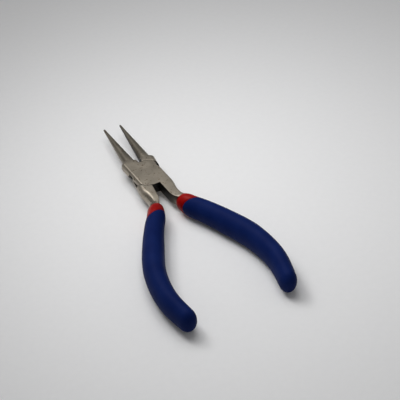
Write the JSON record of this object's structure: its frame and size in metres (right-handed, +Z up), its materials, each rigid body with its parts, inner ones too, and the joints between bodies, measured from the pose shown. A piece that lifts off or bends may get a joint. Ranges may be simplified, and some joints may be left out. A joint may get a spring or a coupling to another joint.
{
  "type": "round nose pliers",
  "caption": "Mini round nose pliers for bending wire: tapered round jaws, a flat riveted lap joint and curved handles with two-layer dipped grips.",
  "frame": {"origin": "centre of the bounding box of the tool at its lowest level, where it rests on the table", "axes": "+Y along the tool from the handles to the jaw tips, +Z up along the pivot axis, +X to the right seen from above"},
  "size_m": [0.0564, 0.1284, 0.012],
  "materials": {
    "tool_steel": "satin nickel-like, finely ground",
    "rivet_steel": "ground flush with the head",
    "red_vinyl": "semi-gloss dipped vinyl",
    "blue_vinyl": "matte dipped vinyl"
  },
  "bodies": {
    "lower_half": {"lower_half_forging": "tool_steel", "lower_inner_sleeve": "red_vinyl", "lower_outer_grip": "blue_vinyl", "pivot_rivet": "rivet_steel"},
    "upper_half": {"upper_half_forging": "tool_steel", "upper_inner_sleeve": "red_vinyl", "upper_outer_grip": "blue_vinyl"}
  },
  "joints": [
    {"name": "pivot", "type": "hinge", "parent": "lower_half", "child": "upper_half", "pos_m": [0, 0.02263, 0.006], "axis": [0, 0, 1], "range_deg": [-9.8, 30]}
  ]
}
